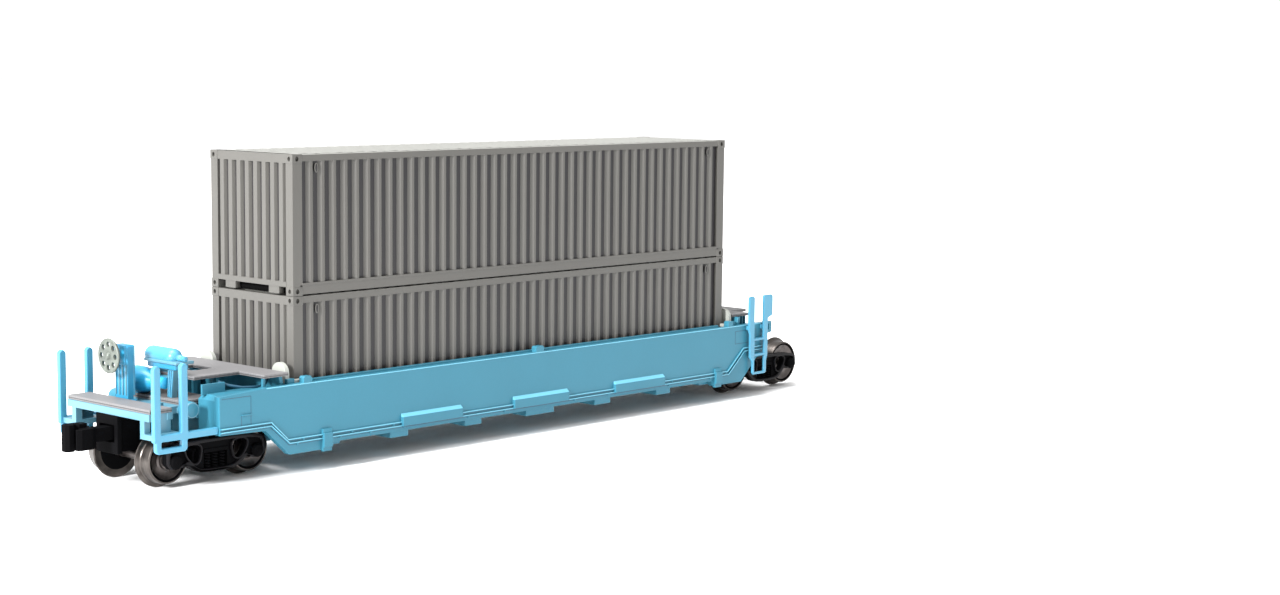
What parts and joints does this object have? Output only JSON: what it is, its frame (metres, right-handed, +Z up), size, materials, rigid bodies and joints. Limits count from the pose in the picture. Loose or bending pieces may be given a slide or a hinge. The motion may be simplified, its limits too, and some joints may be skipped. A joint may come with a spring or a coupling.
{
  "type": "model articulated double-stack well car with containers",
  "caption": "Scale-model well car for railway containers: deep side sills, walkways, hand brake, swivelling trucks, coupler, and stacked ribbed boxes that lift out.",
  "frame": {"origin": "middle of the whole car's box, at the floor that the wheel flanges stand on", "axes": "+X along the car away from its coupler, +Y to the far side, +Z up"},
  "size_m": [0.121, 0.0204, 0.0364],
  "materials": {
    "blue_plastic": "satin moulded plastic in light blue",
    "grey_board": "matt warm grey walkway moulding",
    "cream_plastic": "off-white moulded plastic",
    "black_plastic": "satin black moulded plastic",
    "silver_plastic": "dull silver paint",
    "wheel_metal": "blackened metal with bright treads",
    "container_plastic": "matt warm grey moulding with an off-white roof"
  },
  "bodies": {
    "car": {"side_wall_near": "blue_plastic", "side_wall_far": "blue_plastic", "well_floor": "blue_plastic", "bulkhead_front": "blue_plastic", "bulkhead_rear": "blue_plastic", "end_sill_front": "blue_plastic", "end_sill_rear": "blue_plastic", "deck_front": "grey_board", "deck_rear": "grey_board", "deck_posts_front": "blue_plastic", "deck_posts_rear": "blue_plastic", "platform_frame": "blue_plastic", "platform_boards": "grey_board", "end_rail_near": "blue_plastic", "end_rail_far": "blue_plastic", "ladder_near": "blue_plastic", "ladder_far": "blue_plastic", "guide_front_near": "cream_plastic", "guide_front_far": "cream_plastic", "guide_rear_near": "cream_plastic", "guide_rear_far": "cream_plastic", "brake_stand": "blue_plastic", "brake_wheel": "silver_plastic", "reservoir": "blue_plastic", "reservoir_cradle": "blue_plastic", "brake_cylinder": "blue_plastic", "cylinder_saddle": "blue_plastic", "draft_box": "black_plastic"},
    "coupler": {"coupler": "black_plastic"},
    "truck_front": {"truck_front_side_near": "black_plastic", "truck_front_side_far": "black_plastic", "truck_front_bolster": "black_plastic"},
    "truck_front_wheelset_1": {"truck_front_wheelset_1": "wheel_metal"},
    "truck_front_wheelset_2": {"truck_front_wheelset_2": "wheel_metal"},
    "truck_rear": {"truck_rear_side_near": "black_plastic", "truck_rear_side_far": "black_plastic", "truck_rear_bolster": "black_plastic"},
    "truck_rear_wheelset_1": {"truck_rear_wheelset_1": "wheel_metal"},
    "truck_rear_wheelset_2": {"truck_rear_wheelset_2": "wheel_metal"},
    "container_lower": {"container_lower": "container_plastic"},
    "container_upper": {"container_upper": "container_plastic"}
  },
  "joints": [
    {"name": "coupler_swing", "type": "hinge", "parent": "car", "child": "coupler", "pos_m": [-0.05172, 0, 0.00605], "axis": [0, 0, 1], "range_deg": [-8, 8]},
    {"name": "truck_front_swivel", "type": "hinge", "parent": "car", "child": "truck_front", "pos_m": [-0.04592, 0, 0.0043], "axis": [0, 0, 1], "range_deg": [-6, 6]},
    {"name": "truck_front_wheelset_1_roll", "type": "hinge", "parent": "truck_front", "child": "truck_front_wheelset_1", "pos_m": [-0.05147, 0, 0.00312], "axis": [0, 1, 0], "continuous": true},
    {"name": "truck_front_wheelset_2_roll", "type": "hinge", "parent": "truck_front", "child": "truck_front_wheelset_2", "pos_m": [-0.04037, 0, 0.00312], "axis": [0, 1, 0], "continuous": true},
    {"name": "truck_rear_swivel", "type": "hinge", "parent": "car", "child": "truck_rear", "pos_m": [0.05128, 0, 0.0043], "axis": [0, 0, 1], "range_deg": [-6, 6]},
    {"name": "truck_rear_wheelset_1_roll", "type": "hinge", "parent": "truck_rear", "child": "truck_rear_wheelset_1", "pos_m": [0.04557, 0, 0.00352], "axis": [0, 1, 0], "continuous": true},
    {"name": "truck_rear_wheelset_2_roll", "type": "hinge", "parent": "truck_rear", "child": "truck_rear_wheelset_2", "pos_m": [0.057, 0, 0.00352], "axis": [0, 1, 0], "continuous": true},
    {"name": "container_lower_lift", "type": "slide", "parent": "car", "child": "container_lower", "axis": [0, 0, 1], "range_m": [0, 0.012]},
    {"name": "container_upper_lift", "type": "slide", "parent": "container_lower", "child": "container_upper", "axis": [0, 0, 1], "range_m": [0, 0.006]}
  ]
}
